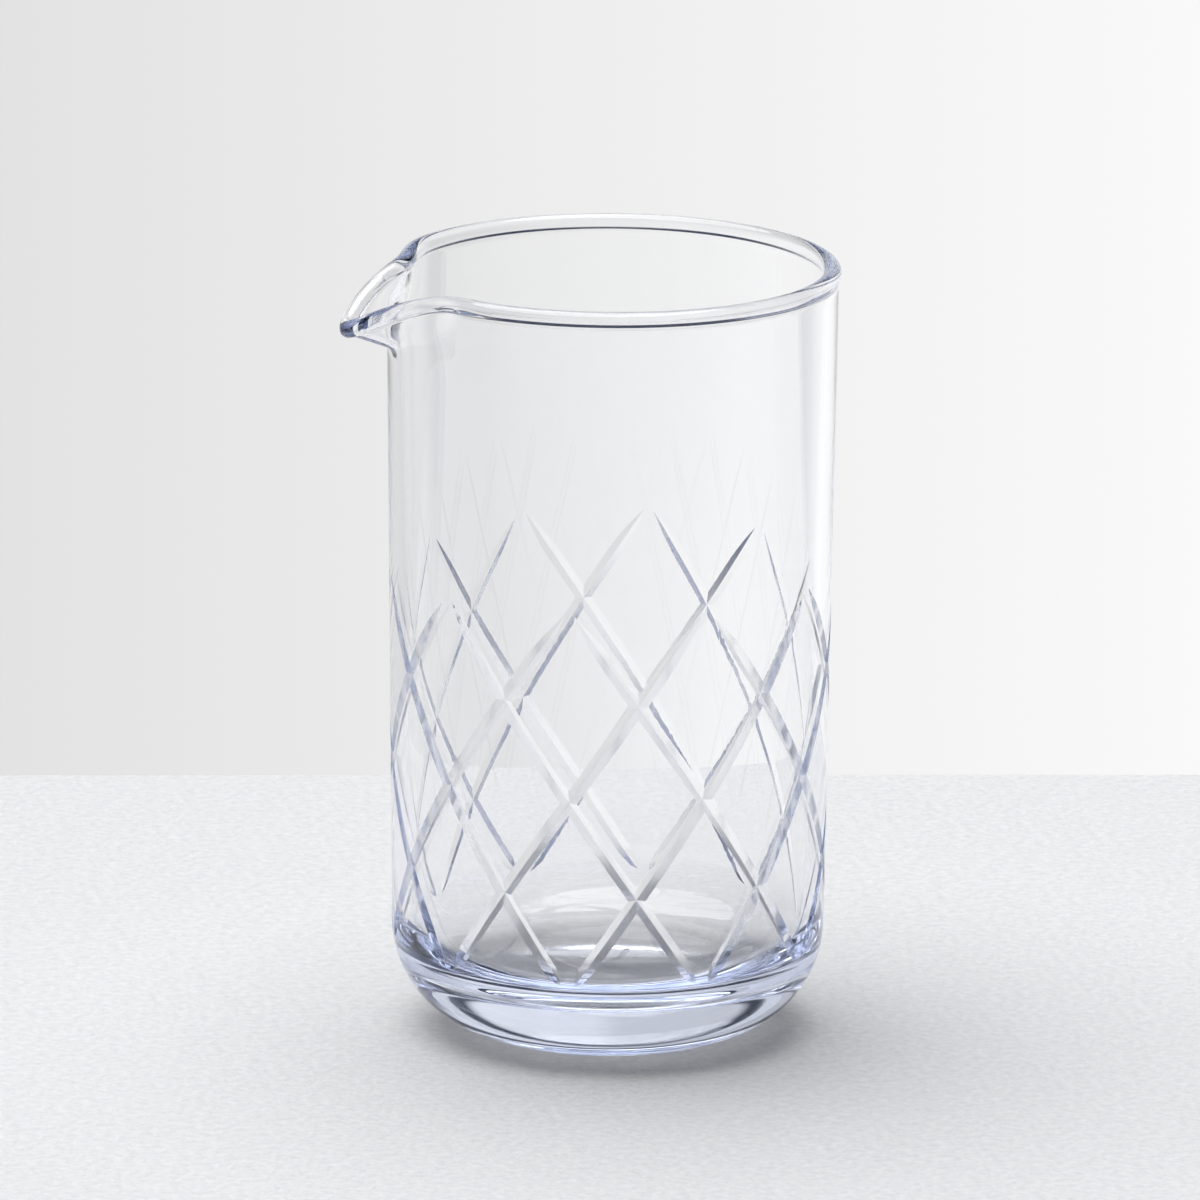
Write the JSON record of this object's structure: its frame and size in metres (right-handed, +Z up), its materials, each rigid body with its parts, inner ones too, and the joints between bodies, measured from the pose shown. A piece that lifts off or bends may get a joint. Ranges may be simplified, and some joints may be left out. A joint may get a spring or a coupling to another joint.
{
  "type": "mixing glass",
  "caption": "Tall straight-sided mixing glass in clear cut glass, with a rolled rim, a pinched pouring spout, a heavy round-heeled base and a diamond lattice of V-cuts on the lower half.",
  "frame": {"origin": "middle of the foot, on the plane that the glass rests on", "axes": "+Z up along the body's axis; the pouring spout points along -X"},
  "size_m": [0.0982, 0.0884, 0.1525],
  "materials": {
    "clear_glass": "clear, fire polished, with wheel-cut grooves"
  },
  "bodies": {
    "root": {"glass_vessel": "clear_glass"}
  },
  "joints": []
}
